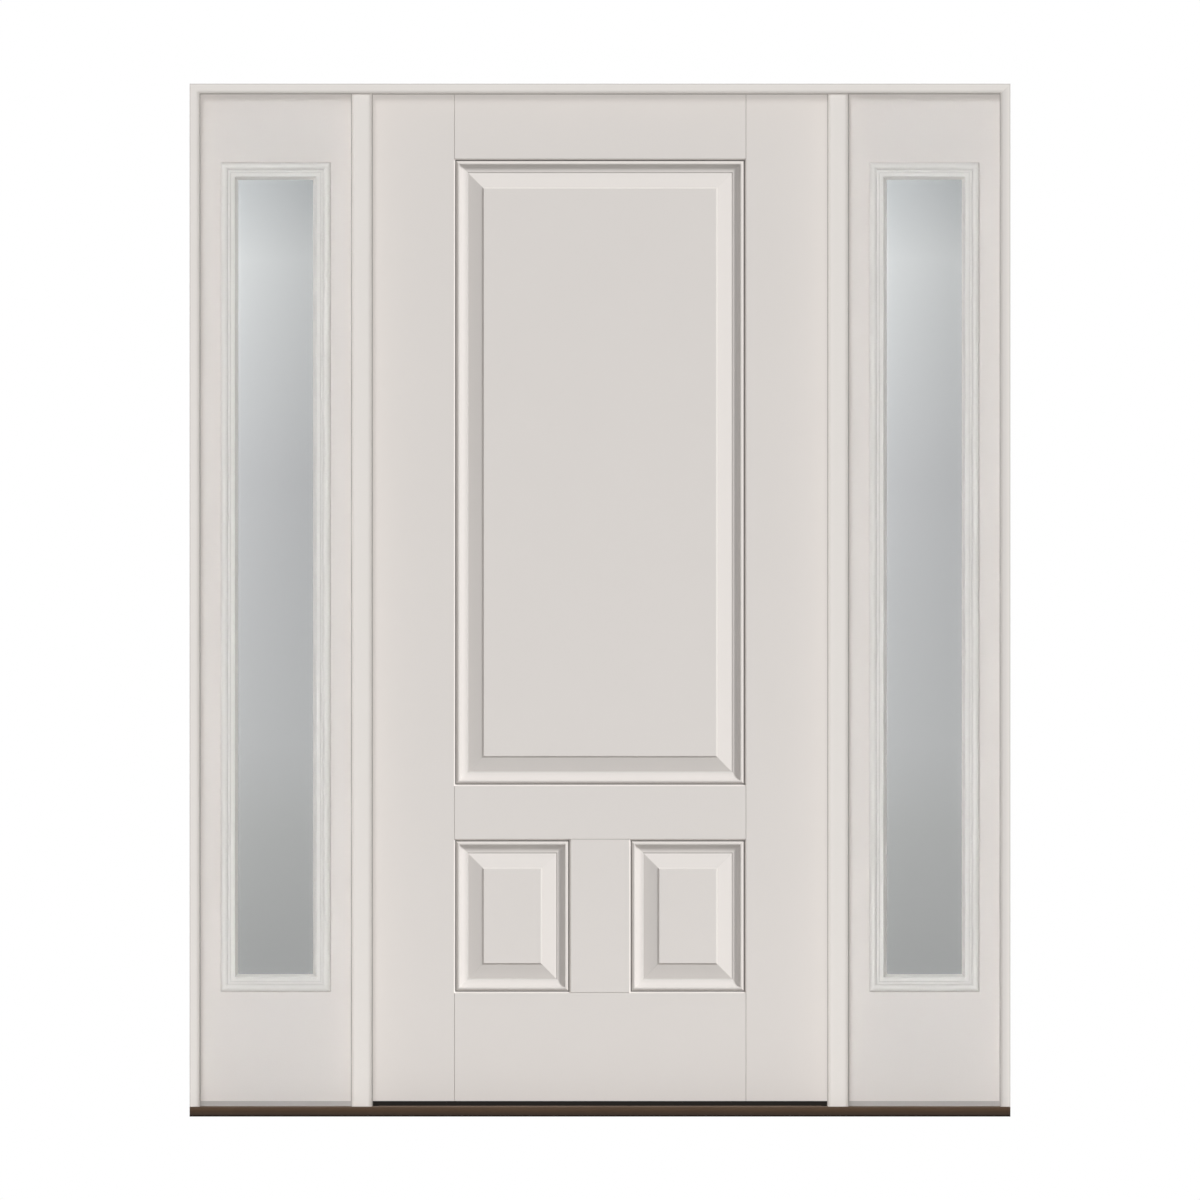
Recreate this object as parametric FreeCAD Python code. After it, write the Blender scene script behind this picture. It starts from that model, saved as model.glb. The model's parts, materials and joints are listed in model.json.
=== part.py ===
import FreeCAD, Part
import math
import os
from FreeCAD import Vector

os.makedirs("parts", exist_ok=True)

# Entry door between two fixed sidelights, in one frame on one low sill. Millimetres.
# X runs along the wall, Y from the outside (-) to the inside (+), Z up.
# The origin is on the underside of the sill, midway along it and midway through the jambs.

# Door leaf
leaf_width = 914.0
leaf_height = 2007.0
leaf_thickness = 44.5
skin_thickness = 2.5
edge_stile_width = 36.0
top_rail_height = 60.0
bottom_rail_height = 70.0
lock_bevel = 2.0

# Moulded panels of the leaf, one tall panel over a pair of small ones, set by what is left round them
stile_face = 166.0
top_rail_face = 132.0
middle_rail_face = 105.0
bottom_rail_face = 214.5
lower_panel_height = 307.0
lower_panel_gap = 116.0
joint_line_width = 2.0
joint_line_depth = 1.0

# Section of the panel moulding, from its outer edge to the raised field
quirk_outer = 3.9
quirk_inner = 5.0
quirk_depth = 6.0
crest_width = 2.2
crest_drop = 0.2
cove_width = 15.9
cove_step = 1.2
cove_step_run = 1.9
relief_depth = 12.0
bevel_width = 28.1
field_step = 3.0
field_step_run = 3.0

# Frame
jamb_depth = 116.0
jamb_web = 12.0
stop_lap = 8.0
mullion_web = 24.0
mullion_setback = 12.0
eased_edge = 7.0

# Sill and what stands in its channel
sill_height = 21.0
sill_nose = 30.0
sill_nose_foot = 3.0
sill_fall = 1.5
channel_floor = 9.0
cap_edge = 3.0
base_recess = 3.0

# Running clearances and seals
running_gap = 5.0
leaf_lift = 10.0
seal_reach = 6.0
seal_gap = 0.3
seal_lip = 2.0
seal_round = 2.0
fit = 0.5
sweep_lap = 0.5
sweep_plate = 3.0
sweep_fin = 3.0
sweep_fin_tip = 1.6
sweep_inset = 1.0

# Sidelights
sidelight_width = 317.5
lite_margin = 49.75
lite_head = 144.5
lite_base = 218.0
lite_lap = 8.0
glass_recess = 9.5
pane_thickness = 4.0
pane_inset = 12.0
spacer_inset = 2.0
spacer_width = 8.0

# Section of the lite frame, from its outer edge to the glass
rim_height = 6.2
rim_radius = 3.0
crown_span = 10.0
crown_rise = 0.8
crown_fall = 0.4
groove_span = 2.4
groove_depth = 1.3
fillet_span = 3.6
fillet_height = 5.6
ledge_span = 1.6
ledge_depth = 1.0
band_span = 7.0
band_height = 5.2
return_run = 7.0
land_width = 14.0
rib_width = 3.0
rib_depth = 8.0
moulding_back = 1.0

# Hinges
hinge_height = 102.0
hinge_flap = 38.0
hinge_corner = 8.0
hinge_play = 0.6
knuckle_radius = 6.5
knuckle_play = 0.4
pin_radius = 3.0
pin_play = 0.05
pin_head_radius = 5.2
pin_head_height = 3.0
top_hinge_drop = 178.0
bottom_hinge_rise = 279.0
knuckle_count = 5

# Places that follow from the sizes
inside = jamb_depth / 2
outside = -jamb_depth / 2
leaf_front = inside - leaf_thickness
door_stop = leaf_front - seal_reach
leaf_side = leaf_width / 2
door_rabbet = leaf_side + running_gap
sidelight_near = door_rabbet + mullion_web
sidelight_far = sidelight_near + sidelight_width + 2 * fit
unit_side = sidelight_far + jamb_web
jamb_face = jamb_web + stop_lap
leaf_bottom = sill_height + leaf_lift
leaf_top = leaf_bottom + leaf_height
rabbet_top = leaf_top + running_gap
head_edge = rabbet_top - stop_lap
unit_top = rabbet_top + jamb_web
sweep_bottom = sill_height - sweep_lap
cap_top = sweep_bottom - running_gap
overcut = 1.0


def box(x0, x1, y0, y1, z0, z1):
    return Part.makeBox(x1 - x0, y1 - y0, z1 - z0, Vector(x0, y0, z0))


def arc_to(centre, radius, start, end):
    # One round step of an outline: the point midway along the arc, and its end
    def point(degrees):
        turn = math.radians(degrees)
        return (centre[0] + radius * math.cos(turn), centre[1] + radius * math.sin(turn))

    return (point((start + end) / 2), point(end))


def outline(place, steps):
    # A closed wire through the steps: a pair is a straight run, a pair of pairs an arc
    edges = []
    here = steps[0]
    for step in steps[1:] + steps[:1]:
        if isinstance(step[0], tuple):
            middle, there = step
            edges.append(Part.Arc(place(*here), place(*middle), place(*there)).toShape())
        else:
            there = step
            edges.append(Part.makeLine(place(*here), place(*there)))
        here = there
    return Part.Wire(edges)


def upright(steps, z0, z1, side=0):
    # A section drawn in plan, X from the given side and Y, run upwards
    wire = outline(lambda x, y: Vector(side + x, y, z0), steps)
    return Part.Face(wire).extrude(Vector(0, 0, z1 - z0))


def lengthwise(steps, x0, x1):
    # A section drawn across the wall, Y and Z, run along it
    wire = outline(lambda y, z: Vector(x0, y, z), steps)
    return Part.Face(wire).extrude(Vector(x1 - x0, 0, 0))


def overhead(steps, x0, x1, top):
    # A section drawn as for an upright, laid down from the given top and run along the wall
    wire = outline(lambda drop, y: Vector(x0, y, top - drop), steps)
    return Part.Face(wire).extrude(Vector(x1 - x0, 0, 0))


def mitred_ring(steps, centre_x, width, base, height, face):
    # A section carried round a rectangle with mitred corners. Its first value runs inwards
    # from the rectangle's edge, its second from the given face towards the inside.
    left, right, top = centre_x - width / 2, centre_x + width / 2, base + height
    corners = [(centre_x, base), (right, base), (right, top), (left, top), (left, base), (centre_x, base)]
    path = Part.makePolygon([Vector(x, face, z) for x, z in corners])
    wire = outline(lambda inward, deep: Vector(centre_x, face + deep, base + inward), steps)
    return path.makePipeShell([wire], True, False, 1)


def other_side(shape):
    # The same thing on the other face of the leaf or slab
    return shape.mirror(Vector(0, (leaf_front + inside) / 2, 0), Vector(0, 1, 0))


def across(shape):
    # The same thing at the other end of the unit
    return shape.mirror(Vector(0, 0, 0), Vector(1, 0, 0))


def save(name, shape):
    shape.exportStep(os.path.join("parts", name + ".step"))
    print(name, len(shape.Solids), round(shape.Volume))


# Sill: bull nose, draining deck, then the channel that the posts, cap and bases stand in
nose = outside - sill_nose
deck_front = sill_height - sill_fall
nose_radius = deck_front - sill_nose_foot
sill = lengthwise(
    [
        (nose + sill_nose_foot, 0),
        (nose, sill_nose_foot),
        arc_to((nose + nose_radius, sill_nose_foot), nose_radius, 180, 90),
        (door_stop, sill_height),
        (door_stop, channel_floor),
        (inside, channel_floor),
        (inside, 0),
    ],
    -unit_side,
    unit_side,
)
save("sill", sill)


# Outer frame: one rabbeted section for both jambs and the head, mitred at the top corners
jamb_section = [
    (0, outside),
    (jamb_face - eased_edge, outside),
    arc_to((jamb_face - eased_edge, outside + eased_edge), eased_edge, -90, 0),
    (jamb_face, leaf_front),
    (jamb_web, leaf_front),
    (jamb_web, inside),
    (0, inside),
]


def corner_wedge(below):
    # What the mitre takes off at the left top corner, below or above its diagonal
    reach = 2 * jamb_face
    far = (-unit_side, unit_top - reach) if below else (-unit_side + reach, unit_top)
    points = [(-unit_side, unit_top), (-unit_side + reach, unit_top - reach), far]
    wire = outline(lambda x, z: Vector(x, outside - overcut, z), points)
    return Part.Face(wire).extrude(Vector(0, jamb_depth + 2 * overcut, 0))


left_jamb = upright(jamb_section, 0, unit_top, -unit_side)
left_jamb = left_jamb.cut(corner_wedge(False)).cut(sill)
save("left_jamb", left_jamb)
save("right_jamb", across(left_jamb))

head = overhead(jamb_section, -unit_side, unit_side, unit_top)
head = head.cut(corner_wedge(True)).cut(across(corner_wedge(True)))
seal_pocket = box(-door_rabbet, door_rabbet, door_stop, leaf_front, head_edge - overcut, rabbet_top)
head = head.cut(seal_pocket)
save("head_jamb", head)

# Mullions: a stop on each side, the door's set back for its weatherstrip, coped to head and sill
mullion_front = outside + mullion_setback
door_edge = door_rabbet - stop_lap
light_edge = sidelight_near + stop_lap
eased_row = mullion_front + eased_edge
left_mullion = upright(
    [
        (-door_edge - eased_edge, mullion_front),
        arc_to((-door_edge - eased_edge, eased_row), eased_edge, -90, 0),
        (-door_edge, door_stop),
        (-door_rabbet, door_stop),
        (-door_rabbet, inside),
        (-sidelight_near, inside),
        (-sidelight_near, leaf_front),
        (-light_edge, leaf_front),
        (-light_edge, eased_row),
        arc_to((-light_edge + eased_edge, eased_row), eased_edge, 180, 270),
    ],
    0,
    rabbet_top,
)
left_mullion = left_mullion.cut(head).cut(sill)
save("left_mullion", left_mullion)
save("right_mullion", across(left_mullion))

# Threshold cap, lying in the channel under the door
cap_side = door_rabbet - fit
cap_front = door_stop + fit
cap = lengthwise(
    [
        (cap_front, channel_floor),
        (cap_front, cap_top),
        (inside - cap_edge, cap_top),
        arc_to((inside - cap_edge, cap_top - cap_edge), cap_edge, 90, 0),
        (inside, channel_floor),
    ],
    -cap_side,
    cap_side,
)
save("threshold_cap", cap)

# Sidelight bases, filling the channel between the stops and lifting each slab to the leaf's height
base_front = leaf_front + base_recess
left_base = lengthwise(
    [
        (door_stop, channel_floor),
        (door_stop, sill_height),
        (base_front, sill_height),
        (base_front, leaf_bottom),
        (inside, leaf_bottom),
        (inside, channel_floor),
    ],
    fit - sidelight_far,
    -sidelight_near - fit,
)
left_base = left_base.cut(left_jamb).cut(left_mullion)
save("left_sidelight_base", left_base)
save("right_sidelight_base", across(left_base))

# Weatherstrips: a soft bulb on the door stop, its lip just past the stop's edge
seal_face = leaf_front - seal_gap
seal_near = stop_lap + seal_lip
seal_shoulder = seal_face - seal_round
seal_section = [
    (seal_gap, door_stop),
    (seal_gap, seal_shoulder),
    arc_to((seal_gap + seal_round, seal_shoulder), seal_round, 180, 90),
    (seal_near - seal_round, seal_face),
    arc_to((seal_near - seal_round, seal_shoulder), seal_round, 90, 0),
    (seal_near, door_stop),
]
left_seal = upright(seal_section, cap_top + seal_gap, rabbet_top - seal_near, -door_rabbet)
head_seal = overhead(seal_section, seal_gap - door_rabbet, door_rabbet - seal_gap, rabbet_top)
save("left_weatherstrip", left_seal)
save("right_weatherstrip", across(left_seal))
save("head_weatherstrip", head_seal)

# Panel moulding: the groove that shapes the outer face, and the thicker skin behind it
crest_start = quirk_outer + quirk_inner
cove_start = crest_start + crest_width
cove_end = cove_start + cove_width
bevel_start = cove_end + cove_step_run
bevel_end = bevel_start + bevel_width
moulding_width = bevel_end + field_step_run
cove_foot = relief_depth - cove_step
cove_fall = cove_foot - crest_drop
cove_radius = (cove_width**2 + cove_fall**2) / (2 * cove_fall)
cove_turn = math.degrees(math.asin(cove_width / cove_radius))
groove_section = [
    (0, -overcut),
    (0, 0),
    (quirk_outer, quirk_depth),
    (crest_start, crest_drop),
    (cove_start, crest_drop),
    arc_to((cove_end, cove_foot - cove_radius), cove_radius, 90 + cove_turn, 90),
    (bevel_start, relief_depth),
    (bevel_end, field_step),
    (moulding_width, 0),
    (moulding_width, -overcut),
]
backing_depth = relief_depth + skin_thickness
backing_section = [
    (-2 * skin_thickness, 0),
    (crest_start, backing_depth),
    (bevel_start + skin_thickness, backing_depth),
    (moulding_width + 2 * skin_thickness, skin_thickness),
    (moulding_width + 2 * skin_thickness, 0),
]

panel_group_width = leaf_width - 2 * stile_face
lower_panel_width = (panel_group_width - lower_panel_gap) / 2
lower_panel_x = (lower_panel_gap + lower_panel_width) / 2
lower_base = leaf_bottom + bottom_rail_face
lower_top = lower_base + lower_panel_height
upper_base = lower_top + middle_rail_face
upper_top = leaf_top - top_rail_face
panels = [
    (0, panel_group_width, upper_base, upper_top - upper_base),
    (-lower_panel_x, lower_panel_width, lower_base, lower_panel_height),
    (lower_panel_x, lower_panel_width, lower_base, lower_panel_height),
]
grooves = [mitred_ring(groove_section, *panel, leaf_front) for panel in panels]
backings = [mitred_ring(backing_section, *panel, leaf_front) for panel in panels]

# Joint lines where stiles meet rails, each with its outer edge on the panels' outer edge
line_x = (panel_group_width - joint_line_width) / 2


def joint_line(x, z, along, length):
    # A vee in the outer face, from its middle point along X or Z
    middle = Vector(x, leaf_front, z)
    half = Vector(along.z, 0, along.x) * (joint_line_width / 2)
    deep = Vector(0, joint_line_depth, 0)
    vee = Part.makePolygon([middle - half, middle + deep, middle + half, middle - half])
    return Part.Face(vee).extrude(along * length)


up = Vector(0, 0, 1)
along_wall = Vector(1, 0, 0)
joint_lines = []
for side in (-line_x, line_x):
    for z0, z1 in ((leaf_bottom, lower_base), (lower_top, upper_base), (upper_top, leaf_top)):
        joint_lines.append(joint_line(side, z0, up, z1 - z0))
for level in (lower_base + joint_line_width / 2, lower_top - joint_line_width / 2):
    joint_lines.append(joint_line(-lower_panel_gap / 2, level, along_wall, lower_panel_gap))

# The lock edge leans back towards the outside, so that its far corner clears the rabbet
bevel_plan = [
    (leaf_side - lock_bevel, leaf_front),
    (leaf_side + overcut, leaf_front),
    (leaf_side + overcut, inside),
    (leaf_side, inside),
]
lock_wedge = upright(bevel_plan, leaf_bottom - overcut, leaf_top + overcut)

# Skins of the leaf, moulded alike on both faces
core_front = leaf_front + skin_thickness
core_back = inside - skin_thickness
plain_skin = box(-leaf_side, leaf_side, leaf_front, core_front, leaf_bottom, leaf_top)
moulded_skin = plain_skin.fuse(backings).removeSplitter().cut(grooves).cut(joint_lines)
save("door_exterior_skin", moulded_skin.cut(lock_wedge))
save("door_interior_skin", other_side(moulded_skin).cut(lock_wedge))

# Edge stiles and rails of the leaf, and the core that they and the skins close in
stile_inner = leaf_side - edge_stile_width
core_bottom = leaf_bottom + bottom_rail_height
core_top = leaf_top - top_rail_height
hinge_stile = box(-leaf_side, -stile_inner, core_front, core_back, leaf_bottom, leaf_top)
save("door_hinge_stile", hinge_stile)
save("door_lock_stile", across(hinge_stile).cut(lock_wedge))
save("door_top_rail", box(-stile_inner, stile_inner, core_front, core_back, core_top, leaf_top))
save("door_bottom_rail", box(-stile_inner, stile_inner, core_front, core_back, leaf_bottom, core_bottom))
door_core = box(-stile_inner, stile_inner, core_front, core_back, core_bottom, core_top)
door_core = door_core.cut(backings).cut([other_side(backing) for backing in backings])
save("door_core", door_core)

# Sweep under the leaf: a plate with three tapered fins
sweep_front = leaf_front + sweep_inset
sweep_back = inside - sweep_inset
plate_under = leaf_bottom - sweep_plate
fin_mid = (sweep_front + sweep_back) / 2
sweep = lengthwise(
    [
        (sweep_front, leaf_bottom),
        (sweep_front, sweep_bottom),
        (sweep_front + sweep_fin_tip, sweep_bottom),
        (sweep_front + sweep_fin, plate_under),
        (fin_mid - sweep_fin / 2, plate_under),
        (fin_mid - sweep_fin_tip / 2, sweep_bottom),
        (fin_mid + sweep_fin_tip / 2, sweep_bottom),
        (fin_mid + sweep_fin / 2, plate_under),
        (sweep_back - sweep_fin, plate_under),
        (sweep_back - sweep_fin_tip, sweep_bottom),
        (sweep_back, sweep_bottom),
        (sweep_back, leaf_bottom),
    ],
    sweep_inset - leaf_side,
    leaf_side - lock_bevel - sweep_inset,
)
save("door_sweep", sweep)

# Sidelights: a flush slab with one tall lite, glazed between an outer and an inner frame
slab_near = sidelight_near + fit
slab_far = slab_near + sidelight_width
slab_top = rabbet_top - fit
slab_x = -(slab_near + slab_far) / 2
lite_bottom = leaf_bottom + lite_base
lite_width = sidelight_width - 2 * lite_margin
lite_height = slab_top - lite_head - lite_bottom


def lite_plate(inset, y0, y1):
    # A plate whose edge lies this far inside the lite frame's outer edge
    half = lite_width / 2 - inset
    return box(slab_x - half, slab_x + half, y0, y1, lite_bottom + inset, lite_bottom + lite_height - inset)


def slab_layer(y0, y1):
    whole = box(-slab_far, -slab_near, y0, y1, leaf_bottom, slab_top)
    return whole.cut(lite_plate(lite_lap, y0 - overcut, y1 + overcut))


crown_mid = rim_radius + crown_span / 2
crown_end = rim_radius + crown_span
fillet_start = crown_end + groove_span
fillet_end = fillet_start + fillet_span
band_start = fillet_end + ledge_span
band_end = band_start + band_span
glass_edge = band_end + return_run
lite_section = [
    (0, 0),
    (0, rim_radius - rim_height),
    arc_to((rim_radius, rim_radius - rim_height), rim_radius, 180, 270),
    ((crown_mid, -rim_height - crown_rise), (crown_end, crown_fall - rim_height)),
    (crown_end + groove_span / 2, groove_depth - rim_height),
    (fillet_start, -fillet_height),
    (fillet_end, -fillet_height),
    (fillet_end + ledge_span / 2, ledge_depth - fillet_height),
    (band_start, -band_height),
    (band_end, -band_height),
    (glass_edge, glass_recess),
    (glass_edge - land_width, glass_recess),
    (glass_edge - land_width, moulding_back),
    (lite_lap + fit + rib_width, moulding_back),
    (lite_lap + fit + rib_width, rib_depth),
    (lite_lap + fit, rib_depth),
    (lite_lap + fit, 0),
]
outer_lite = mitred_ring(lite_section, slab_x, lite_width, lite_bottom, lite_height, leaf_front)
outer_pane_back = leaf_front + glass_recess + pane_thickness
inner_pane_front = inside - glass_recess - pane_thickness
spacer_edge = pane_inset + spacer_inset
spacer_hole = lite_plate(spacer_edge + spacer_width, outer_pane_back - overcut, inner_pane_front + overcut)
sidelight = {
    "exterior_skin": slab_layer(leaf_front, core_front),
    "core": slab_layer(core_front, core_back),
    "interior_skin": slab_layer(core_back, inside),
    "outer_lite_frame": outer_lite,
    "inner_lite_frame": other_side(outer_lite),
    "outer_pane": lite_plate(pane_inset, outer_pane_back - pane_thickness, outer_pane_back),
    "inner_pane": lite_plate(pane_inset, inner_pane_front, inner_pane_front + pane_thickness),
    "glass_spacer": lite_plate(spacer_edge, outer_pane_back, inner_pane_front).cut(spacer_hole),
}
for name, piece in sidelight.items():
    save("left_sidelight_" + name, piece)
    save("right_sidelight_" + name, across(piece))

# Butt hinges on the left edge of the leaf: each flap lies in the reveal on its own side
axis_x = -(leaf_side + door_rabbet) / 2
axis_y = inside + knuckle_radius
flap_thickness = (running_gap - hinge_play) / 2
knuckle_pitch = hinge_height / knuckle_count


def barrel(radius, z0, z1):
    return Part.makeCylinder(radius, z1 - z0, Vector(axis_x, axis_y, z0))


def hinge_flap_plate(x0, base):
    # Plate with two rounded corners at its far edge, drawn in the plane of the reveal
    far = inside - hinge_flap
    top = base + hinge_height
    steps = [
        (axis_y, base),
        (axis_y, top),
        (far + hinge_corner, top),
        arc_to((far + hinge_corner, top - hinge_corner), hinge_corner, 90, 180),
        (far, base + hinge_corner),
        arc_to((far + hinge_corner, base + hinge_corner), hinge_corner, 180, 270),
    ]
    return lengthwise(steps, x0, x0 + flap_thickness)


def hinge_leaf(plate, base, own):
    # Flap with its own knuckles, cut back round the knuckles of the other flap
    shape = plate
    for index in range(knuckle_count):
        z0 = base + index * knuckle_pitch
        z1 = z0 + knuckle_pitch
        if index % 2 == own:
            low = z0 if index == 0 else z0 + knuckle_play / 2
            high = z1 if index == knuckle_count - 1 else z1 - knuckle_play / 2
            shape = shape.fuse(barrel(knuckle_radius, low, high))
        else:
            low = z0 - knuckle_play / 2
            high = z1 + knuckle_play / 2
            shape = shape.cut(barrel(knuckle_radius + knuckle_play, low, high))
    bore = barrel(pin_radius + pin_play, base - overcut, base + hinge_height + overcut)
    return shape.cut(bore).removeSplitter()


top_hinge = leaf_top - top_hinge_drop - hinge_height
bottom_hinge = leaf_bottom + bottom_hinge_rise
hinge_bases = {"top": top_hinge, "middle": (top_hinge + bottom_hinge) / 2, "bottom": bottom_hinge}
for name, base in hinge_bases.items():
    top = base + hinge_height
    frame_plate = hinge_flap_plate(-door_rabbet, base)
    door_plate = hinge_flap_plate(-leaf_side - flap_thickness, base)
    pin = barrel(pin_radius, base, top).fuse(barrel(pin_head_radius, top, top + pin_head_height))
    save(name + "_hinge_frame_leaf", hinge_leaf(frame_plate, base, 0))
    save(name + "_hinge_door_leaf", hinge_leaf(door_plate, base, 1))
    save(name + "_hinge_pin", pin.removeSplitter())
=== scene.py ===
import bpy
import json
import math
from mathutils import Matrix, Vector


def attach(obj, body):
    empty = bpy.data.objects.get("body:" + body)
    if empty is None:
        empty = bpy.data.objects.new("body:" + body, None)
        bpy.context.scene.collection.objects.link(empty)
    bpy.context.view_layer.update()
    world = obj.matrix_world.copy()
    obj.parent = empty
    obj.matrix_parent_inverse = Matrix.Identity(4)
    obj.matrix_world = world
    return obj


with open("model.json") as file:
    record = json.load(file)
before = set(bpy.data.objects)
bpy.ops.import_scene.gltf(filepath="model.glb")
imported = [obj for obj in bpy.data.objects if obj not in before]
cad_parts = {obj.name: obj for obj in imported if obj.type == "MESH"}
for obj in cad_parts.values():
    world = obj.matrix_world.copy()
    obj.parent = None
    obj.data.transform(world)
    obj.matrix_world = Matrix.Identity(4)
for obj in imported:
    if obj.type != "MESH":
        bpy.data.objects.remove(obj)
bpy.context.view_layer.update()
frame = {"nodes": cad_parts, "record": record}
nodes = frame["nodes"]
scene = bpy.context.scene
print("frame loaded:", len(nodes), "nodes")


def hexColour(text, level=1.0):
    # sRGB hex to the linear colour that a shader wants, made lighter or darker by level
    parts = [int(text[i:i + 2], 16) / 255 for i in (0, 2, 4)]
    linear = [c / 12.92 if c <= 0.04045 else ((c + 0.055) / 1.055) ** 2.4 for c in parts]
    return tuple(min(1.0, c * level) for c in linear) + (1.0,)


# Node maths as plain expressions
class Value:
    def __init__(self, graph, socket):
        self.graph = graph
        self.socket = socket

    def __add__(self, other):
        return self.graph.maths("ADD", self, other)

    def __sub__(self, other):
        return self.graph.maths("SUBTRACT", self, other)

    def __rsub__(self, other):
        return self.graph.maths("SUBTRACT", other, self)

    def __mul__(self, other):
        return self.graph.maths("MULTIPLY", self, other)

    def __truediv__(self, other):
        return self.graph.maths("DIVIDE", self, other)

    def __gt__(self, other):
        return self.graph.maths("GREATER_THAN", self, other)

    def __lt__(self, other):
        return self.graph.maths("LESS_THAN", self, other)

    def __abs__(self):
        return self.graph.maths("ABSOLUTE", self, 0.0)

    def least(self, other):
        return self.graph.maths("MINIMUM", self, other)

    def most(self, other):
        return self.graph.maths("MAXIMUM", self, other)

    __radd__ = __add__
    __rmul__ = __mul__


class Graph:
    def __init__(self, tree):
        self.tree = tree

    def node(self, kind, settings=None, sockets=None):
        made = self.tree.nodes.new(kind)
        for key, setting in (settings or {}).items():
            if key == "stops":
                self.setStops(made.color_ramp, setting)
            else:
                setattr(made, key, setting)
        for key, given in (sockets or {}).items():
            for item in given if isinstance(given, list) else [given]:
                item = item.socket if isinstance(item, Value) else item
                if isinstance(item, bpy.types.NodeSocket):
                    self.tree.links.new(item, made.inputs[key])
                else:
                    made.inputs[key].default_value = item
        return made

    def setStops(self, ramp, stops):
        while len(ramp.elements) < len(stops):
            ramp.elements.new(0.5)
        for element, (at, colour) in zip(ramp.elements, stops):
            element.position = at
            element.color = colour

    def maths(self, operation, a, b):
        return Value(self, self.node("ShaderNodeMath", {"operation": operation}, {0: a, 1: b}).outputs[0])


# A procedural material on Object coordinates
class Look(Graph):
    def __init__(self, name):
        self.material = bpy.data.materials.new(name)
        self.material.use_nodes = True
        super().__init__(self.material.node_tree)
        self.tree.nodes.clear()
        self.place = self.node("ShaderNodeTexCoord").outputs["Object"]

    def axes(self):
        split = self.node("ShaderNodeSeparateXYZ", None, {0: self.place})
        return [Value(self, out) for out in split.outputs]

    def noise(self, scale, detail=2.0, stretch=(1, 1, 1), rough=0.5):
        spread = self.node("ShaderNodeMapping", None, {"Vector": self.place, "Scale": stretch}).outputs[0]
        sockets = {"Vector": spread, "Scale": scale, "Detail": detail, "Roughness": rough}
        return Value(self, self.node("ShaderNodeTexNoise", None, sockets).outputs[0])

    def ramp(self, along, stops):
        return self.node("ShaderNodeValToRGB", {"stops": stops}, {0: along}).outputs[0]

    def stripe(self, value, middle, width, soft):
        # 1 within a stripe of the value and 0 outside it
        settings = {"operation": "DIVIDE", "use_clamp": True}
        inside = (width + soft) / 2 - abs(value - middle)
        return Value(self, self.node("ShaderNodeMath", settings, {0: inside, 1: soft}).outputs[0])

    def blend(self, factor, a, b, how="MIX"):
        settings = {"data_type": "RGBA", "blend_type": how}
        return self.node("ShaderNodeMix", settings, {0: factor, 6: a, 7: b}).outputs[2]

    def bump(self, height, distance):
        return self.node("ShaderNodeBump", None, {"Height": height, "Distance": distance}).outputs[0]

    def finish(self, **sockets):
        named = {key.replace("_", " "): given for key, given in sockets.items()}
        shader = self.node("ShaderNodeBsdfPrincipled", None, named)
        self.node("ShaderNodeOutputMaterial", None, {"Surface": shader.outputs[0]})
        return self.material


# A Geometry Nodes tree with named inputs, run once and kept as a plain mesh
class Maker(Graph):
    def __init__(self, name, inputs):
        super().__init__(bpy.data.node_groups.new(name, "GeometryNodeTree"))
        face = self.tree.interface
        face.new_socket("Geometry", in_out="INPUT", socket_type="NodeSocketGeometry")
        self.keys = {
            label: face.new_socket(label, in_out="INPUT", socket_type="NodeSocket" + kind).identifier
            for label, kind in inputs.items()
        }
        face.new_socket("Geometry", in_out="OUTPUT", socket_type="NodeSocketGeometry")
        self.given = self.node("NodeGroupInput").outputs

    def number(self, label):
        return Value(self, self.given[label])

    def vector(self, x, y, z):
        return self.node("ShaderNodeCombineXYZ", None, {0: x, 1: y, 2: z}).outputs[0]

    def close(self, geometry):
        real = self.node("GeometryNodeRealizeInstances", None, {0: geometry}).outputs[0]
        worn = self.node("GeometryNodeSetMaterial", None, {
            "Geometry": real, "Material": self.given["Material"]
        })
        self.node("NodeGroupOutput", None, {0: worn.outputs[0]})

    def make(self, name, points, edges, sizes):
        seed = bpy.data.meshes.new(name + "Seed")
        seed.from_pydata(points, edges, [])
        piece = bpy.data.objects.new(name, seed)
        scene.collection.objects.link(piece)
        run = piece.modifiers.new("make", "NODES")
        run.node_group = self.tree
        for label, size in sizes.items():
            run[self.keys[label]] = size
        ready = piece.evaluated_get(bpy.context.evaluated_depsgraph_get())
        mesh = bpy.data.meshes.new_from_object(ready)
        piece.modifiers.remove(run)
        piece.data = mesh
        mesh.name = name
        return piece


# Sprayed paint: a fine orange peel, a trace of cloudiness and a satin sheen
sprayed = {"cloudScale": 5.0, "sheenScale": 40.0, "sheenVary": 0.10, "peelScale": 340.0}


def paintLook(name, colour, sheen, peel, cloud=0.02, lines=None):
    look = Look(name)
    clouds = look.noise(sprayed["cloudScale"], 3.0)
    base = look.blend(clouds, hexColour(colour), hexColour(colour, 1 - cloud))
    if lines:
        for mask, depth in lines(look):
            base = look.blend(mask, base, hexColour(colour, depth))
    return look.finish(
        Base_Color=base,
        Roughness=sheen + sprayed["sheenVary"] * look.noise(sprayed["sheenScale"], 3.0),
        Normal=look.bump(look.noise(sprayed["peelScale"], 2.0), peel),
    )


# Painted shade and painted light in lines round a panel, placed by how far in they are from its edge
lineSoft = 0.0008  # metres over which a line fades


def inwardFrom(look, panels):
    x, z = look.axes()[::2]
    across = abs(x)
    inward = None
    for panel in panels:
        side = panel["halfWide"] - abs(across - panel["middleX"])
        reach = side.least(panel["halfHigh"] - abs(z - panel["middleZ"]))
        inward = inward.most(reach) if inward else reach
    return inward, across, z


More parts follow.
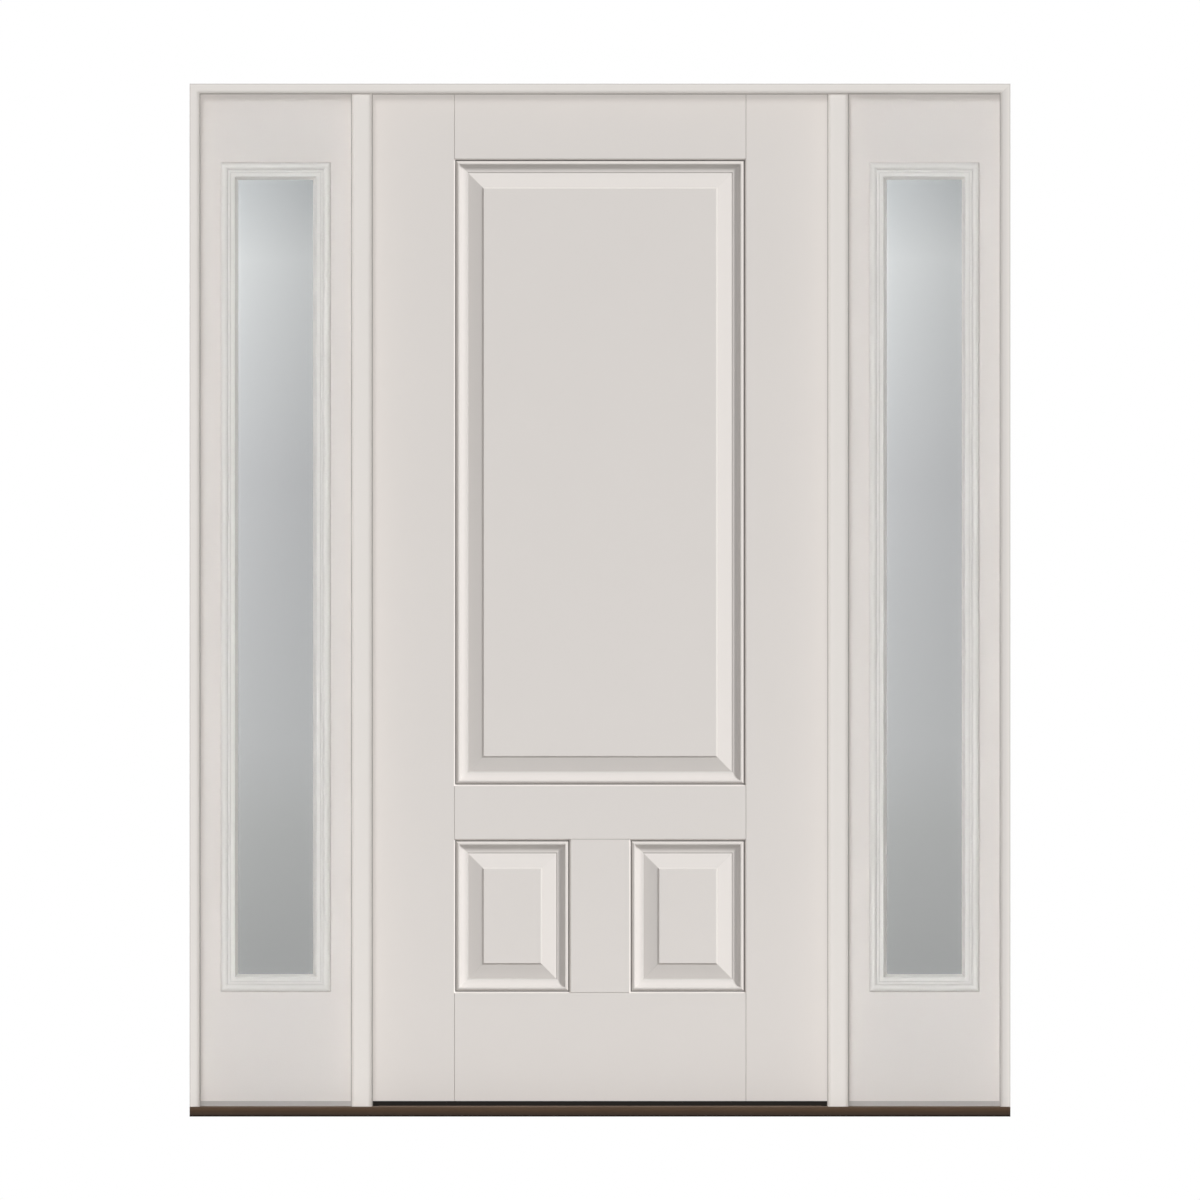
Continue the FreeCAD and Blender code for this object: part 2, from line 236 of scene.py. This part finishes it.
# The leaf: its panels, the lines round each of them and the joints of its stiles and rails, metres
leafLines = {
    "panels": (
        dict(halfWide=0.291, halfHigh=0.62425, middleX=0.0, middleZ=1.28175),
        dict(halfWide=0.1165, halfHigh=0.1535, middleX=0.1745, middleZ=0.399),
    ),
    # brim: a painted highlight on the outer arris of each panel
    "brimIn": 0.0013,
    "brimWide": 0.0016,
    "brimDepth": 1.22,
    # quirk and foot: painted shade in the quirk groove and at the crease at the foot of the cove
    "quirkIn": 0.0041,
    "quirkWide": 0.0018,
    "quirkDepth": 0.27,
    "footIn": 0.0280,
    "footWide": 0.0013,
    "footDepth": 0.74,
    # joints: painted shade in the joint grooves of the stiles and rails
    "jointX": 0.290,
    "jointZ": (0.2465, 0.5515),
    "jointEnd": 0.058,
    "jointWide": 0.0016,
    "jointDepth": 0.80,
}


def grooveShadeAndHighlight(look):
    inward, across, z = inwardFrom(look, leafLines["panels"])
    wide = leafLines["jointWide"]
    joints = look.stripe(across, leafLines["jointX"], wide, lineSoft)
    for level in leafLines["jointZ"]:
        joints = joints.most(look.stripe(z, level, wide, lineSoft) * (across < leafLines["jointEnd"]))
    rings = []
    for kind in ("brim", "quirk", "foot"):
        ring = look.stripe(inward, leafLines[kind + "In"], leafLines[kind + "Wide"], lineSoft)
        rings.append((ring, leafLines[kind + "Depth"]))
    return [(joints, leafLines["jointDepth"])] + rings


# The outer lite frames: painted shade in the groove beside the crown and on the ledge beside the flat band,
# painted light on the lip at the glass
liteLines = {
    "panels": (dict(halfWide=0.109, halfHigh=0.8245, middleX=0.64525, middleZ=1.0735),),
    "middleY": 0.036,
    "steps": (
        dict(at=0.0142, wide=0.0014, depth=0.93),
        dict(at=0.0198, wide=0.0010, depth=0.87),
        dict(at=0.0312, wide=0.0066, depth=1.28),
    ),
}


def liteShadeAndLight(look):
    inward = inwardFrom(look, liteLines["panels"])[0]
    outside = look.axes()[1] < liteLines["middleY"]
    return [
        (look.stripe(inward, step["at"], step["wide"], lineSoft) * outside, step["depth"])
        for step in liteLines["steps"]
    ]


# The frame: a thin shaded line on its outer arrises, and a soft shade at the inner edge of the right jamb
frameLines = {
    "outerX": 0.8165, "outerZ": 2.055, "frontY": -0.0565, "arrisWide": 0.0034, "arrisDepth": 0.78,
    "shadeX": 0.790, "shadeWide": 0.033, "shadeSoft": 0.014, "shadeDepth": 0.76,
}


def arrisMasks(look):
    x, y, z = look.axes()
    wide = frameLines["arrisWide"]
    sides = look.stripe(abs(x), frameLines["outerX"], wide, lineSoft)
    edge = sides.most(look.stripe(z, frameLines["outerZ"], wide, lineSoft))
    return [(edge * (y < frameLines["frontY"]), frameLines["arrisDepth"])]


def jambMasks(look):
    x = look.axes()[0]
    shade = look.stripe(x, frameLines["shadeX"], frameLines["shadeWide"], frameLines["shadeSoft"])
    return [(shade, frameLines["shadeDepth"])] + arrisMasks(look)


paints = {
    "framePaint": dict(colour="e2ddd8", sheen=0.36, peel=0.00002, lines=arrisMasks),
    # for the right jamb: the frame paint with a painted shade at its inner edge
    "jambPaint": dict(colour="e2ddd8", sheen=0.36, peel=0.00002, lines=jambMasks),
    "slabPaint": dict(colour="d9d4d0", sheen=0.42, peel=0.00002),
    "leafPaint": dict(colour="d9d4d0", sheen=0.42, peel=0.00002, lines=grooveShadeAndHighlight),
    "litePlastic": dict(colour="dbd9d5", sheen=0.34, peel=0.00001, cloud=0.01, lines=liteShadeAndLight),
    "baseGrey": dict(colour="b2aeab", sheen=0.50, peel=0.00003),
    "sealGrey": dict(colour="a5a19d", sheen=0.55, peel=0.00003),
    "jointSealant": dict(colour="a5a19d", sheen=0.55, peel=0.00003),
    "paintedSealant": dict(colour="d4cfcb", sheen=0.46, peel=0.00002),
}
looks = {name: paintLook(name, **given) for name, given in paints.items()}


# Bronze finish of the sill: draw lines along its length, with a painted highlight at the rim and painted
# shade darker to the foot
sillTone = {
    "rim": "8a7461", "top": "6c5745", "foot": "261c16",
    "low": 0.001, "high": 0.0205, "highlightFrom": 0.9,
    "drawScale": 260.0, "drawStretch": (0.004, 1, 1), "drawWear": 0.35,
    "blotchScale": 7.0, "blotchWear": 0.2,
    "rough": 0.42, "roughVary": 0.14, "relief": 0.00006, "shine": 0.06,
}


def sillLook(name):
    look = Look(name)
    rise = (look.axes()[2] - sillTone["low"]) / (sillTone["high"] - sillTone["low"])
    draw = look.noise(sillTone["drawScale"], 3.0, sillTone["drawStretch"])
    # painted light by height: a painted highlight at the rim, painted shade towards the foot
    stops = [(0.0, "foot"), (sillTone["highlightFrom"], "top"), (1.0, "rim")]
    tone = look.ramp(rise, [(at, hexColour(sillTone[shade])) for at, shade in stops])
    blotch = look.noise(sillTone["blotchScale"], 4.0)
    wear = sillTone["drawWear"] * draw + sillTone["blotchWear"] * blotch
    return look.finish(
        Base_Color=look.blend(wear, tone, hexColour(sillTone["foot"])),
        Roughness=sillTone["rough"] + sillTone["roughVary"] * draw,
        Normal=look.bump(draw, sillTone["relief"]),
        Specular_IOR_Level=sillTone["shine"],
    )


looks["sillBronze"] = sillLook("sillBronze")


# Rolled aluminium of the glass spacer
spacerTone = {
    "pale": "b8babb", "dark": "9fa1a2", "drawScale": 300.0, "drawStretch": (1, 1, 0.01),
    "metal": 0.9, "rough": 0.34, "roughVary": 0.12,
}


def spacerLook(name):
    look = Look(name)
    draw = look.noise(spacerTone["drawScale"], 2.0, spacerTone["drawStretch"])
    return look.finish(
        Base_Color=look.blend(draw, hexColour(spacerTone["pale"]), hexColour(spacerTone["dark"])),
        Metallic=spacerTone["metal"],
        Roughness=spacerTone["rough"] + spacerTone["roughVary"] * draw,
    )


looks["spacerBar"] = spacerLook("spacerBar")


# Moulded rubber, composite and foam: dull and slightly mottled
moulded = {"mottleScale": 130.0, "mottleLift": 1.3, "roughVary": 0.15, "grainScale": 600.0}


def mouldedLook(name, colour, rough, grain, sheen):
    look = Look(name)
    mottle = look.noise(moulded["mottleScale"], 4.0)
    return look.finish(
        Base_Color=look.blend(mottle, hexColour(colour), hexColour(colour, moulded["mottleLift"])),
        Roughness=rough + moulded["roughVary"] * mottle,
        Normal=look.bump(look.noise(moulded["grainScale"], 2.0), grain),
        Specular_IOR_Level=sheen,
    )


mouldings = {
    "sweepRubber": dict(colour="1d1a17", rough=0.60, grain=0.00004, sheen=0.12),
    "capComposite": dict(colour="453a31", rough=0.50, grain=0.00008, sheen=0.25),
    "coreFoam": dict(colour="ddd4a8", rough=0.80, grain=0.0003, sheen=0.1),
}
looks.update({name: mouldedLook(name, **given) for name, given in mouldings.items()})


# Primed wood edges of the leaf, with the grain just showing
edgeTone = {
    "primer": "d9d4cc", "streak": "c6bfb2", "grainScale": 140.0, "grainStretch": (1, 1, 0.03),
    "grainRough": 0.6, "rough": 0.5, "roughVary": 0.15, "relief": 0.0002,
}


def edgeLook(name):
    look = Look(name)
    grain = look.noise(edgeTone["grainScale"], 5.0, edgeTone["grainStretch"], edgeTone["grainRough"])
    return look.finish(
        Base_Color=look.blend(grain, hexColour(edgeTone["primer"]), hexColour(edgeTone["streak"])),
        Roughness=edgeTone["rough"] + edgeTone["roughVary"] * grain,
        Normal=look.bump(grain, edgeTone["relief"]),
    )


looks["edgeWood"] = edgeLook("edgeWood")


# Satin nickel, brushed along the height of the hinge
nickelTone = {
    "pale": "b9b4ab", "dark": "a29d95", "brushScale": 1500.0, "brushStretch": (1, 1, 0.02),
    "rough": 0.30, "roughVary": 0.12, "relief": 0.00003,
}


def nickelLook(name):
    look = Look(name)
    brush = look.noise(nickelTone["brushScale"], 2.0, nickelTone["brushStretch"])
    return look.finish(
        Base_Color=look.blend(brush, hexColour(nickelTone["pale"]), hexColour(nickelTone["dark"])),
        Metallic=1.0,
        Roughness=nickelTone["rough"] + nickelTone["roughVary"] * brush,
        Normal=look.bump(brush, nickelTone["relief"]),
    )


looks["satinNickel"] = nickelLook("satinNickel")

# Satin privacy glass with a painted reflection: pale towards the head, greyer to the foot, lighter on the
# left of each lite
glassTone = {
    "middleX": 0.64525,
    "halfWide": 0.0744,
    "low": 0.2836,
    "high": 1.8634,
    "sideFoot": 0.015,
    "sideRise": 0.15,
    "stops": [
        (0.0, "9ea0a0"), (0.18, "acaeae"), (0.29, "b8babb"),
        (0.62, "bdbfc1"), (0.90, "d2d5d6"), (1.0, "bcc0c2"),
    ],
    "softScale": 2.2,
    "softLow": 0.98,
    "softVary": 0.04,
    "rough": 0.2,
    "roughVary": 0.06,
    "clear": 0.06,
}


def satinGlassLook(name):
    look = Look(name)
    x, z = look.axes()[::2]
    # painted reflection: a ramp by height and a falloff across each lite
    rise = (z - glassTone["low"]) / (glassTone["high"] - glassTone["low"])
    tone = look.ramp(rise, [(at, hexColour(shade)) for at, shade in glassTone["stops"]])
    aside = (x + glassTone["middleX"] - (x > 0.0) * (2 * glassTone["middleX"])) / glassTone["halfWide"]
    soft = look.noise(glassTone["softScale"], 2.0)
    sideReflection = 1.0 - aside * (glassTone["sideFoot"] + glassTone["sideRise"] * rise)
    level = sideReflection * (glassTone["softLow"] + glassTone["softVary"] * soft)
    grey = look.node("ShaderNodeCombineColor", None, {0: level, 1: level, 2: level}).outputs[0]
    return look.finish(
        Base_Color=look.blend(1.0, tone, grey, "MULTIPLY"),
        Roughness=glassTone["rough"] + glassTone["roughVary"] * soft,
        Transmission_Weight=glassTone["clear"],
        IOR=1.5,
    )


looks["satinGlass"] = satinGlassLook("satinGlass")


# Clear glass of the inner panes
def clearGlassLook(name):
    look = Look(name)
    return look.finish(
        Base_Color=look.blend(look.noise(3.0), hexColour("f3f6f5"), hexColour("eef2f1")),
        Roughness=0.02,
        Transmission_Weight=1.0,
        IOR=1.5,
    )


looks["clearGlass"] = clearGlassLook("clearGlass")
print("materials made:", len(looks))

# Which finish each CAD piece wears
lookBySlot = {
    "frame_paint": "framePaint",
    "sill_bronze": "sillBronze",
    "cap_composite": "capComposite",
    "base_grey": "baseGrey",
    "seal_grey": "sealGrey",
    "door_paint": "slabPaint",
    "edge_wood": "edgeWood",
    "core_foam": "coreFoam",
    "sweep_rubber": "sweepRubber",
    "lite_frame": "litePlastic",
    "clear_glass": "satinGlass",
    "spacer_aluminium": "spacerBar",
    "hinge_steel": "satinNickel",
}
lookByNode = {
    "right_jamb": "jambPaint",
    "door_exterior_skin": "leafPaint",
    "door_interior_skin": "leafPaint",
    "left_sidelight_inner_pane": "clearGlass",
    "right_sidelight_inner_pane": "clearGlass",
}
slotOf = {row["node"]: row["material_slot"] for row in frame["record"]["subparts"]}
for name, node in nodes.items():
    node.data.materials.clear()
    node.data.materials.append(looks[lookByNode.get(name, lookBySlot[slotOf[name]])])
print("CAD pieces dressed")

added = {"frame": [], "door": []}


def keep(piece, body):
    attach(piece, body)
    added[body].append(piece)
    print("added", piece.name, len(piece.data.polygons), "faces")


# Sealant: a thin bead that follows an edge
beadMaker = Maker("beadAlongEdge", {"Radius": "Float", "Sides": "Int", "Material": "Material"})
beadPath = beadMaker.node("GeometryNodeMeshToCurve", None, {"Mesh": beadMaker.given["Geometry"]}).outputs[0]
beadRound = beadMaker.node("GeometryNodeCurvePrimitiveCircle", {"mode": "RADIUS"}, {
    "Resolution": beadMaker.given["Sides"], "Radius": beadMaker.given["Radius"]
}).outputs[0]
beadTube = beadMaker.node("GeometryNodeCurveToMesh", None, {
    "Curve": beadPath, "Profile Curve": beadRound, "Fill Caps": True
}).outputs[0]
beadMaker.close(beadMaker.node("GeometryNodeSetShadeSmooth", None, {"Geometry": beadTube}).outputs[0])

sealant = {
    "slab": dict(near=0.494, far=0.7965, foot=0.031, top=2.035, face=0.0135, radius=0.0016),
    "lite": dict(
        middleX=0.64525, halfWide=0.109, foot=0.249, top=1.898, faces=(0.0135, 0.058), radius=0.0007
    ),
    "sides": 12,
}


def addRun(seed, run, closed):
    # one run of points, joined in order, into the points and edges of a seed
    points, edges = seed
    first, count = len(points), len(run)
    points.extend(run)
    edges.extend((first + i, first + (i + 1) % count) for i in range(count if closed else count - 1))


slab, lite = sealant["slab"], sealant["lite"]
slabSeed = ([], [])
liteSeed = ([], [])
for side in (-1, 1):
    near, far = side * slab["near"], side * slab["far"]
    corners = ((near, slab["foot"]), (near, slab["top"]), (far, slab["top"]), (far, slab["foot"]))
    addRun(slabSeed, [(x, slab["face"], z) for x, z in corners], False)
    left, right = side * lite["middleX"] - lite["halfWide"], side * lite["middleX"] + lite["halfWide"]
    corners = ((left, lite["foot"]), (right, lite["foot"]), (right, lite["top"]), (left, lite["top"]))
    for face in lite["faces"]:
        addRun(liteSeed, [(x, face, z) for x, z in corners], True)
for name, seed, kind, finish, slot in (
    ("slabSealant", slabSeed, "slab", "jointSealant", "seal_grey"),
    ("liteSealant", liteSeed, "lite", "paintedSealant", "door_paint"),
):
    bead = beadMaker.make(name, seed[0], seed[1], {
        "Radius": sealant[kind]["radius"], "Sides": sealant["sides"], "Material": looks[finish]
    })
    keep(bead, "frame")

# Screws: flat heads with a cross recess, set on the points of a seed; arms as shares of the radius
crossHead = {"sides": 24, "taper": 0.93, "armLong": 1.15, "armWide": 0.24}
screwMaker = Maker("screwHeads", {
    "Radius": "Float", "Height": "Float", "Recess": "Float", "Turn": "Vector", "Material": "Material"
})
headRadius, headHeight = screwMaker.number("Radius"), screwMaker.number("Height")
screwHead = screwMaker.node("GeometryNodeMeshCone", {"fill_type": "NGON"}, {
    "Vertices": crossHead["sides"], "Radius Top": headRadius * crossHead["taper"],
    "Radius Bottom": headRadius, "Depth": headHeight,
}).outputs[0]
recessDepth = screwMaker.number("Recess") * 2.0
recessArms = []
armLong, armWide = headRadius * crossHead["armLong"], headRadius * crossHead["armWide"]
for along, across in ((armLong, armWide), (armWide, armLong)):
    arm = screwMaker.node("GeometryNodeMeshCube", None, {
        "Size": screwMaker.vector(along, across, recessDepth)
    }).outputs[0]
    recessArms.append(screwMaker.node("GeometryNodeTransform", None, {
        "Geometry": arm, "Translation": screwMaker.vector(0.0, 0.0, headHeight)
    }).outputs[0])
crossed = screwMaker.node("GeometryNodeMeshBoolean", {"operation": "DIFFERENCE", "solver": "EXACT"}, {
    "Mesh 1": screwHead, "Mesh 2": recessArms
}).outputs[0]
turned = screwMaker.node("FunctionNodeEulerToRotation", None, {0: screwMaker.given["Turn"]}).outputs[0]
screwMaker.close(screwMaker.node("GeometryNodeInstanceOnPoints", None, {
    "Points": screwMaker.given["Geometry"], "Instance": crossed, "Rotation": turned
}).outputs[0])

hingeScrews = {
    "feet": (1.758, 1.034, 0.310),
    "rows": ((0.013, 0.031), (0.038, 0.047), (0.064, 0.047), (0.089, 0.031)),
    "radius": 0.0042,
    "height": 0.0006,
    "proud": 0.00012,
    "recess": 0.0004,
    "flaps": {
        "hingeFrameScrews": dict(face=-0.4598, toward=1, body="frame"),
        "hingeDoorScrews": dict(face=-0.4592, toward=-1, body="door"),
    },
}
for name, flap in hingeScrews["flaps"].items():
    sunk = flap["face"] - flap["toward"] * (hingeScrews["height"] - hingeScrews["proud"])
    points = [(sunk, y, foot + up) for foot in hingeScrews["feet"] for up, y in hingeScrews["rows"]]
    screws = screwMaker.make(name, points, [], {
        "Radius": hingeScrews["radius"], "Height": hingeScrews["height"], "Recess": hingeScrews["recess"],
        "Turn": (0.0, flap["toward"] * math.pi / 2, 0.0), "Material": looks["satinNickel"],
    })
    keep(screws, flap["body"])

capScrews = {
    "places": (-0.36, -0.12, 0.12, 0.36), "y": 0.033, "top": 0.0155,
    "radius": 0.005, "height": 0.001, "proud": 0.0004, "recess": 0.0007,
}
capSunk = capScrews["top"] + capScrews["proud"] - capScrews["height"]
capRow = screwMaker.make("capScrews", [(x, capScrews["y"], capSunk) for x in capScrews["places"]], [], {
    "Radius": capScrews["radius"], "Height": capScrews["height"], "Recess": capScrews["recess"],
    "Turn": (0.0, 0.0, 0.0), "Material": looks["satinNickel"],
})
keep(capRow, "frame")

# Plugs over the screws of the inner lite frames, spaced along the flat band
litePlugs = {
    "inset": 0.0241, "face": 0.0632, "spacing": 0.205,
    "radius": 0.0032, "height": 0.0012, "proud": 0.0004, "sides": 20, "taper": 0.86,
}
plugMaker = Maker("plugsAlongEdge", {
    "Spacing": "Float", "Radius": "Float", "Height": "Float", "Turn": "Vector", "Material": "Material"
})
plugPath = plugMaker.node("GeometryNodeMeshToCurve", None, {"Mesh": plugMaker.given["Geometry"]}).outputs[0]
plugSpots = plugMaker.node("GeometryNodeCurveToPoints", {"mode": "LENGTH"}, {
    "Curve": plugPath, "Length": plugMaker.given["Spacing"]
}).outputs[0]
plugRadius = plugMaker.number("Radius")
plugCap = plugMaker.node("GeometryNodeMeshCone", {"fill_type": "NGON"}, {
    "Vertices": litePlugs["sides"], "Radius Top": plugRadius * litePlugs["taper"],
    "Radius Bottom": plugRadius, "Depth": plugMaker.given["Height"],
}).outputs[0]
plugTurn = plugMaker.node("FunctionNodeEulerToRotation", None, {0: plugMaker.given["Turn"]}).outputs[0]
plugMaker.close(plugMaker.node("GeometryNodeInstanceOnPoints", None, {
    "Points": plugSpots, "Instance": plugCap, "Rotation": plugTurn
}).outputs[0])

plugSeed = ([], [])
for side in (-1, 1):
    middle = side * lite["middleX"]
    wide = lite["halfWide"] - litePlugs["inset"]
    foot, top = lite["foot"] + litePlugs["inset"], lite["top"] - litePlugs["inset"]
    depth = litePlugs["face"] + litePlugs["proud"] - litePlugs["height"]
    corners = ((middle - wide, foot), (middle + wide, foot), (middle + wide, top), (middle - wide, top))
    addRun(plugSeed, [(x, depth, z) for x, z in corners], True)
plugs = plugMaker.make("litePlugs", plugSeed[0], plugSeed[1], {
    "Spacing": litePlugs["spacing"], "Radius": litePlugs["radius"], "Height": litePlugs["height"],
    "Turn": (-math.pi / 2, 0.0, 0.0), "Material": looks["litePlastic"],
})
keep(plugs, "frame")

# Low ribs along the sill deck, between the mullions; the deck's front and back are (y, z)
deckRibs = {
    "count": 8, "firstY": -0.064, "lastY": -0.008, "length": 0.88,
    "radius": 0.0016, "flat": 0.5, "sides": 16,
    "deckFront": (-0.0715, 0.0195), "deckBack": (0.0075, 0.021),
}
ribMaker = Maker("deckRibs", {
    "Count": "Int", "Step": "Vector", "Start": "Vector", "Length": "Float", "Radius": "Float",
    "Flat": "Float", "Material": "Material",
})
ribBar = ribMaker.node("GeometryNodeMeshCylinder", {"fill_type": "NGON"}, {
    "Vertices": deckRibs["sides"], "Radius": ribMaker.given["Radius"], "Depth": ribMaker.given["Length"]
}).outputs[0]
ribLaid = ribMaker.node("GeometryNodeTransform", None, {
    "Geometry": ribBar, "Rotation": (0.0, math.pi / 2, 0.0)
}).outputs[0]
ribFlat = ribMaker.node("GeometryNodeTransform", None, {
    "Geometry": ribLaid, "Scale": ribMaker.vector(1.0, 1.0, ribMaker.given["Flat"])
}).outputs[0]
ribRow = ribMaker.node("GeometryNodeMeshLine", {"mode": "OFFSET"}, {
    "Count": ribMaker.given["Count"], "Start Location": ribMaker.given["Start"],
    "Offset": ribMaker.given["Step"],
}).outputs[0]
ribMaker.close(ribMaker.node("GeometryNodeInstanceOnPoints", None, {
    "Points": ribRow, "Instance": ribFlat
}).outputs[0])

frontY, frontZ = deckRibs["deckFront"]
backY, backZ = deckRibs["deckBack"]
deckSlope = (backZ - frontZ) / (backY - frontY)
ribGap = (deckRibs["lastY"] - deckRibs["firstY"]) / (deckRibs["count"] - 1)
ribs = ribMaker.make("deckRibs", [], [], {
    "Count": deckRibs["count"], "Step": (0.0, ribGap, ribGap * deckSlope),
    "Start": (0.0, deckRibs["firstY"], frontZ + (deckRibs["firstY"] - frontY) * deckSlope),
    "Length": deckRibs["length"], "Radius": deckRibs["radius"], "Flat": deckRibs["flat"],
    "Material": looks["sillBronze"],
})
keep(ribs, "frame")

# Camera: square on, level and without perspective, as the picture was made
cameraView = {"mmPerPixel": 1.9895, "frame": 1200, "footRow": 1116.6, "back": 6.0}
perPixel = cameraView["mmPerPixel"] / 1000
eye = bpy.data.cameras.new("eye")
eye.type = "ORTHO"
eye.ortho_scale = cameraView["frame"] * perPixel
eyeObject = bpy.data.objects.new("eye", eye)
eyeObject.location = (0, -cameraView["back"], (cameraView["footRow"] - cameraView["frame"] / 2) * perPixel)
eyeObject.rotation_euler = (math.radians(90), 0, 0)
scene.collection.objects.link(eyeObject)
scene.camera = eyeObject
scene.view_settings.view_transform = "Standard"

# Studio: pale floor, soft sky and large soft lamps, each as wide as soft says, in degrees
# Power is the share of full brightness that a lamp gives the wall it faces most
studio = {
    "sky": 0.20,
    "floor": "f4f3f1",
    "floorGlow": 0.72,
    "floorSize": 40.0,
    "floorDrop": 0.0005,
    "lampReach": 5.0,
    "lamps": {
        "front": dict(toward=(-0.13, -1.0, 0.20), power=0.24, soft=11),
        "leafFront": dict(toward=(-0.14, -1.0, 0.21), power=0.18, soft=11),
        "leafRelief": dict(toward=(1.28, -1.0, 1.03), power=0.65, soft=8),
        "liteRelief": dict(toward=(-0.16, -1.0, 0.12), power=0.34, soft=5),
        "postFace": dict(toward=(-0.28, -1.0, 0.27), power=0.40, soft=6),
        "glassFace": dict(toward=(0.0, -1.0, 1.1), power=0.70, soft=6),
        "rear": dict(toward=(-0.7, 1.0, 0.45), power=0.68, soft=16),
        "side": dict(toward=(1.0, 0.3, 0.3), power=0.40, soft=8),
        "fillRight": dict(toward=(1.0, 0.25, 0.2), power=0.20, soft=8),
        "fillLeft": dict(toward=(-1.0, 0.25, 0.2), power=0.11, soft=8),
    },
}


def makeLamp(name, toward, power, soft):
    data = bpy.data.lights.new(name, "SUN")
    way = Vector(toward).normalized()
    data.energy = power * math.pi / max(abs(way.x), abs(way.y))
    data.angle = math.radians(soft)
    lamp = bpy.data.objects.new(name, data)
    lamp.rotation_mode = "QUATERNION"
    lamp.rotation_quaternion = way.to_track_quat("Z", "Y")
    lamp.location = way * studio["lampReach"]
    scene.collection.objects.link(lamp)
    return lamp


lamps = {name: makeLamp(name, **given) for name, given in studio["lamps"].items()}


def inSight(graph):
    # 1 for what the camera sees straight, in a shine or through glass, 0 for the light that falls on pieces
    rays = graph.node("ShaderNodeLightPath").outputs
    kinds = [Value(graph, rays["Is %s Ray" % kind]) for kind in ("Camera", "Glossy", "Transmission")]
    return kinds[0].most(kinds[1]).most(kinds[2])


world = bpy.data.worlds.new("studio")
scene.world = world
world.use_nodes = True
world.node_tree.nodes.clear()
surround = Graph(world.node_tree)
backdrop = surround.node("ShaderNodeBackground", None, {
    "Color": (1, 1, 1, 1), "Strength": inSight(surround) * (1.0 - studio["sky"]) + studio["sky"]
})
surround.node("ShaderNodeOutputWorld", None, {"Surface": backdrop.outputs[0]})

half = studio["floorSize"] / 2
floorMesh = bpy.data.meshes.new("floor")
floorCorners = [(-half, -half, 0), (half, -half, 0), (half, half, 0), (-half, half, 0)]
floorMesh.from_pydata(floorCorners, [], [(0, 1, 2, 3)])
floor = bpy.data.objects.new("floor", floorMesh)
floor.location.z = -studio["floorDrop"]
scene.collection.objects.link(floor)
floorLook = Look("floorPale")
glow = inSight(floorLook) * studio["floorGlow"]
floor.data.materials.append(floorLook.finish(
    Base_Color=hexColour(studio["floor"]),
    Roughness=0.9,
    Emission_Color=floorLook.node("ShaderNodeCombineColor", None, {0: glow, 1: glow, 2: glow}).outputs[0],
    Emission_Strength=1.0,
))
floorLook.material.cycles.emission_sampling = "NONE"  # the glow is only for the eye


# Each lamp lights its own pieces, and only what is named throws its shadow
def linkLamp(name, lit, casting):
    for role, members in (("receiver", lit), ("blocker", casting)):
        group = bpy.data.collections.new(name + "_" + role)
        for member in members:
            group.objects.link(member)
        setattr(lamps[name].light_linking, role + "_collection", group)


leafNames = frame["record"]["behaviour"]["bodies"]["door"]
leafPieces = [nodes[name] for name in leafNames] + added["door"]
framePieces = [node for name, node in nodes.items() if name not in leafNames] + added["frame"]
everything = leafPieces + framePieces
panes = [node for name, node in nodes.items() if name.endswith("outer_pane")]
clearPanes = [node for name, node in nodes.items() if name.endswith("inner_pane")]
litePieces = [nodes[name] for name in nodes if "sidelight" in name and nodes[name] not in panes]
litePieces += [piece for piece in added["frame"] if piece.name in ("slabSealant", "liteSealant", "litePlugs")]
seals = [node for name, node in nodes.items() if name.endswith("weatherstrip")]
postPieces = [piece for piece in framePieces if piece not in litePieces + panes + seals]
linkLamp("front", litePieces + postPieces + [floor], everything)
linkLamp("leafFront", leafPieces + seals, everything)
linkLamp("leafRelief", leafPieces + seals, leafPieces)
linkLamp("liteRelief", litePieces, litePieces)
linkLamp("postFace", postPieces, postPieces)
linkLamp("glassFace", panes, panes)
linkLamp("rear", everything, [piece for piece in everything if piece not in clearPanes])
linkLamp("side", postPieces, everything)
linkLamp("fillRight", postPieces, [floor])
linkLamp("fillLeft", postPieces, [floor])
print("studio lit")
